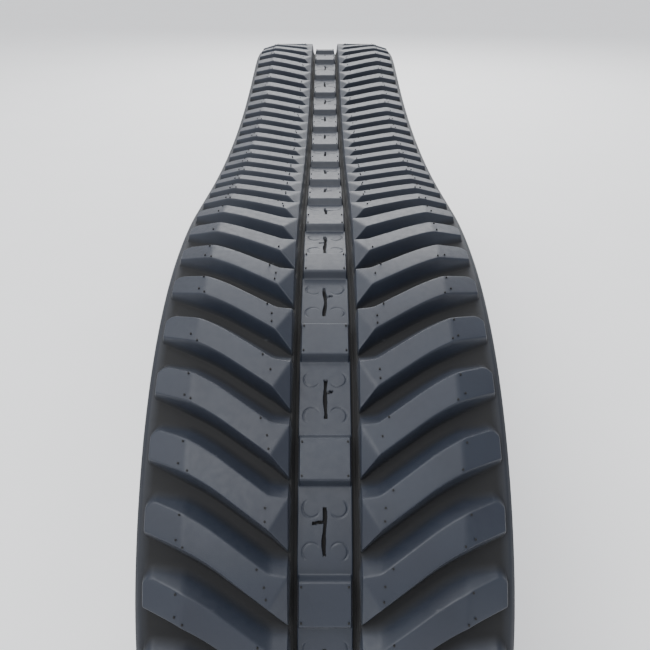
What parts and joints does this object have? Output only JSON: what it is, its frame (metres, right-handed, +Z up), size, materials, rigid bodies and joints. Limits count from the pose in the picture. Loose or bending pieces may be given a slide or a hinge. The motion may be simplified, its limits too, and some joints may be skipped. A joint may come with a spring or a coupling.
{
  "type": "rubber track",
  "caption": "Endless steel-cored rubber track for a tracked machine, standing as a free loop with a sagging top run and a chevron tread.",
  "frame": {"origin": "on the ground, under the middle of the loop: the centre of the bottom of its bounding box", "axes": "+X across the belt, to the right seen from the front; +Y from the front nose to the rear nose; +Z up"},
  "size_m": [0.45, 2.7549, 0.8362],
  "materials": {
    "forged_steel": "forged steel with a dark bonding coat",
    "cord_steel": "brassed steel cord",
    "ply_fabric": "rubberised fabric ply",
    "tread_rubber": "moulded black rubber, semi-matt with a soft sheen",
    "belt_rubber": "moulded black rubber, semi-matt"
  },
  "bodies": {
    "ground_run": {"cores_ground_run": "forged_steel", "tread_ground_run": "tread_rubber", "inner_belt_left": "belt_rubber", "inner_belt_right": "belt_rubber", "cord_ply_left": "ply_fabric", "cord_ply_right": "ply_fabric", "steel_cords_left": "cord_steel", "steel_cords_right": "cord_steel", "tread_base_left": "tread_rubber", "tread_base_right": "tread_rubber", "window_membrane": "belt_rubber"},
    "front_pitch_01": {"core_front_01": "forged_steel", "tread_front_01": "tread_rubber"},
    "front_pitch_02": {"core_front_02": "forged_steel", "tread_front_02": "tread_rubber"},
    "front_pitch_03": {"core_front_03": "forged_steel", "tread_front_03": "tread_rubber"},
    "front_pitch_04": {"core_front_04": "forged_steel", "tread_front_04": "tread_rubber"},
    "front_pitch_05": {"core_front_05": "forged_steel", "tread_front_05": "tread_rubber"},
    "front_pitch_06": {"core_front_06": "forged_steel", "tread_front_06": "tread_rubber"},
    "front_pitch_07": {"core_front_07": "forged_steel", "tread_front_07": "tread_rubber"},
    "front_pitch_08": {"core_front_08": "forged_steel", "tread_front_08": "tread_rubber"},
    "front_pitch_09": {"core_front_09": "forged_steel", "tread_front_09": "tread_rubber"},
    "front_pitch_10": {"core_front_10": "forged_steel", "tread_front_10": "tread_rubber"},
    "front_pitch_11": {"core_front_11": "forged_steel", "tread_front_11": "tread_rubber"},
    "front_pitch_12": {"core_front_12": "forged_steel", "tread_front_12": "tread_rubber"},
    "rear_pitch_01": {"core_rear_01": "forged_steel", "tread_rear_01": "tread_rubber"},
    "rear_pitch_02": {"core_rear_02": "forged_steel", "tread_rear_02": "tread_rubber"},
    "rear_pitch_03": {"core_rear_03": "forged_steel", "tread_rear_03": "tread_rubber"},
    "rear_pitch_04": {"core_rear_04": "forged_steel", "tread_rear_04": "tread_rubber"},
    "rear_pitch_05": {"core_rear_05": "forged_steel", "tread_rear_05": "tread_rubber"},
    "rear_pitch_06": {"core_rear_06": "forged_steel", "tread_rear_06": "tread_rubber"},
    "rear_pitch_07": {"core_rear_07": "forged_steel", "tread_rear_07": "tread_rubber"},
    "rear_pitch_08": {"core_rear_08": "forged_steel", "tread_rear_08": "tread_rubber"},
    "rear_pitch_09": {"core_rear_09": "forged_steel", "tread_rear_09": "tread_rubber"},
    "rear_pitch_10": {"core_rear_10": "forged_steel", "tread_rear_10": "tread_rubber"},
    "rear_pitch_11": {"core_rear_11": "forged_steel", "tread_rear_11": "tread_rubber"},
    "rear_pitch_12": {"core_rear_12": "forged_steel", "tread_rear_12": "tread_rubber"}
  },
  "joints": [
    {"name": "front_flex_01", "type": "hinge", "parent": "ground_run", "child": "front_pitch_01", "pos_m": [0, -1.13654, 0.06913], "axis": [1, 0, 0], "range_deg": [-0.7, 0.7], "stiffness_Nm_per_rad": 60000, "deforming": ["inner_belt_left", "inner_belt_right", "cord_ply_left", "cord_ply_right", "steel_cords_left", "steel_cords_right", "tread_base_left", "tread_base_right", "window_membrane"]},
    {"name": "front_flex_02", "type": "hinge", "parent": "front_pitch_01", "child": "front_pitch_02", "pos_m": [0, -1.2639, 0.16844], "axis": [1, 0, 0], "range_deg": [-0.123, 0.123]},
    {"name": "front_flex_03", "type": "hinge", "parent": "front_pitch_02", "child": "front_pitch_03", "pos_m": [0, -1.33242, 0.31468], "axis": [1, 0, 0], "range_deg": [-0.426, 0.426]},
    {"name": "front_flex_04", "type": "hinge", "parent": "front_pitch_03", "child": "front_pitch_04", "pos_m": [0, -1.32722, 0.4761], "axis": [1, 0, 0], "range_deg": [-0.82, 0.82]},
    {"name": "front_flex_05", "type": "hinge", "parent": "front_pitch_04", "child": "front_pitch_05", "pos_m": [0, -1.25004, 0.61813], "axis": [1, 0, 0], "range_deg": [-0.98, 0.98]},
    {"name": "front_flex_06", "type": "hinge", "parent": "front_pitch_05", "child": "front_pitch_06", "pos_m": [0, -1.12592, 0.72259], "axis": [1, 0, 0], "range_deg": [-0.92, 0.92]},
    {"name": "front_flex_07", "type": "hinge", "parent": "front_pitch_06", "child": "front_pitch_07", "pos_m": [0, -0.9744, 0.78084], "axis": [1, 0, 0], "range_deg": [-0.68, 0.68]},
    {"name": "front_flex_08", "type": "hinge", "parent": "front_pitch_07", "child": "front_pitch_08", "pos_m": [0, -0.81263, 0.7981], "axis": [1, 0, 0], "range_deg": [-0.305, 0.305]},
    {"name": "front_flex_09", "type": "hinge", "parent": "front_pitch_08", "child": "front_pitch_09", "pos_m": [0, -0.64999, 0.78939], "axis": [1, 0, 0], "range_deg": [-0.14, 0.14]},
    {"name": "front_flex_10", "type": "hinge", "parent": "front_pitch_09", "child": "front_pitch_10", "pos_m": [0, -0.48801, 0.77122], "axis": [1, 0, 0], "range_deg": [-0.6, 0.6]},
    {"name": "front_flex_11", "type": "hinge", "parent": "front_pitch_10", "child": "front_pitch_11", "pos_m": [0, -0.32571, 0.75626], "axis": [1, 0, 0], "range_deg": [-1.06, 1.06]},
    {"name": "front_flex_12", "type": "hinge", "parent": "front_pitch_11", "child": "front_pitch_12", "pos_m": [0, -0.16296, 0.74727], "axis": [1, 0, 0], "range_deg": [-1.5, 1.5]},
    {"name": "rear_flex_01", "type": "hinge", "parent": "ground_run", "child": "rear_pitch_01", "pos_m": [0, 1.13654, 0.06913], "axis": [1, 0, 0], "range_deg": [-0.7, 0.7]},
    {"name": "rear_flex_02", "type": "hinge", "parent": "rear_pitch_01", "child": "rear_pitch_02", "pos_m": [0, 1.2639, 0.16844], "axis": [1, 0, 0], "range_deg": [-0.123, 0.123]},
    {"name": "rear_flex_03", "type": "hinge", "parent": "rear_pitch_02", "child": "rear_pitch_03", "pos_m": [0, 1.33242, 0.31468], "axis": [1, 0, 0], "range_deg": [-0.426, 0.426]},
    {"name": "rear_flex_04", "type": "hinge", "parent": "rear_pitch_03", "child": "rear_pitch_04", "pos_m": [0, 1.32722, 0.4761], "axis": [1, 0, 0], "range_deg": [-0.82, 0.82]},
    {"name": "rear_flex_05", "type": "hinge", "parent": "rear_pitch_04", "child": "rear_pitch_05", "pos_m": [0, 1.25004, 0.61813], "axis": [1, 0, 0], "range_deg": [-0.98, 0.98]},
    {"name": "rear_flex_06", "type": "hinge", "parent": "rear_pitch_05", "child": "rear_pitch_06", "pos_m": [0, 1.12592, 0.72259], "axis": [1, 0, 0], "range_deg": [-0.92, 0.92]},
    {"name": "rear_flex_07", "type": "hinge", "parent": "rear_pitch_06", "child": "rear_pitch_07", "pos_m": [0, 0.9744, 0.78084], "axis": [1, 0, 0], "range_deg": [-0.68, 0.68]},
    {"name": "rear_flex_08", "type": "hinge", "parent": "rear_pitch_07", "child": "rear_pitch_08", "pos_m": [0, 0.81263, 0.7981], "axis": [1, 0, 0], "range_deg": [-0.305, 0.305]},
    {"name": "rear_flex_09", "type": "hinge", "parent": "rear_pitch_08", "child": "rear_pitch_09", "pos_m": [0, 0.64999, 0.78939], "axis": [1, 0, 0], "range_deg": [-0.14, 0.14]},
    {"name": "rear_flex_10", "type": "hinge", "parent": "rear_pitch_09", "child": "rear_pitch_10", "pos_m": [0, 0.48801, 0.77122], "axis": [1, 0, 0], "range_deg": [-0.6, 0.6]},
    {"name": "rear_flex_11", "type": "hinge", "parent": "rear_pitch_10", "child": "rear_pitch_11", "pos_m": [0, 0.32571, 0.75626], "axis": [1, 0, 0], "range_deg": [-1.06, 1.06]},
    {"name": "rear_flex_12", "type": "hinge", "parent": "rear_pitch_11", "child": "rear_pitch_12", "pos_m": [0, 0.16296, 0.74727], "axis": [1, 0, 0], "range_deg": [-1.5, 1.5]}
  ],
  "couplings": [
    {"joint": "front_flex_02", "follows": "front_flex_01", "ratio": 0.1738},
    {"joint": "front_flex_03", "follows": "front_flex_01", "ratio": -0.605},
    {"joint": "front_flex_04", "follows": "front_flex_01", "ratio": -1.1672},
    {"joint": "front_flex_05", "follows": "front_flex_01", "ratio": -1.3946},
    {"joint": "front_flex_06", "follows": "front_flex_01", "ratio": -1.3139},
    {"joint": "front_flex_07", "follows": "front_flex_01", "ratio": -0.9662},
    {"joint": "front_flex_08", "follows": "front_flex_01", "ratio": -0.4329},
    {"joint": "front_flex_09", "follows": "front_flex_01", "ratio": 0.197},
    {"joint": "front_flex_10", "follows": "front_flex_01", "ratio": 0.8585},
    {"joint": "front_flex_11", "follows": "front_flex_01", "ratio": 1.5095},
    {"joint": "front_flex_12", "follows": "front_flex_01", "ratio": 2.1409},
    {"joint": "rear_flex_01", "follows": "front_flex_01", "ratio": -1},
    {"joint": "rear_flex_02", "follows": "front_flex_01", "ratio": -0.1738},
    {"joint": "rear_flex_03", "follows": "front_flex_01", "ratio": 0.605},
    {"joint": "rear_flex_04", "follows": "front_flex_01", "ratio": 1.1672},
    {"joint": "rear_flex_05", "follows": "front_flex_01", "ratio": 1.3946},
    {"joint": "rear_flex_06", "follows": "front_flex_01", "ratio": 1.3139},
    {"joint": "rear_flex_07", "follows": "front_flex_01", "ratio": 0.9662},
    {"joint": "rear_flex_08", "follows": "front_flex_01", "ratio": 0.4329},
    {"joint": "rear_flex_09", "follows": "front_flex_01", "ratio": -0.197},
    {"joint": "rear_flex_10", "follows": "front_flex_01", "ratio": -0.8585},
    {"joint": "rear_flex_11", "follows": "front_flex_01", "ratio": -1.5095},
    {"joint": "rear_flex_12", "follows": "front_flex_01", "ratio": -2.1409}
  ]
}
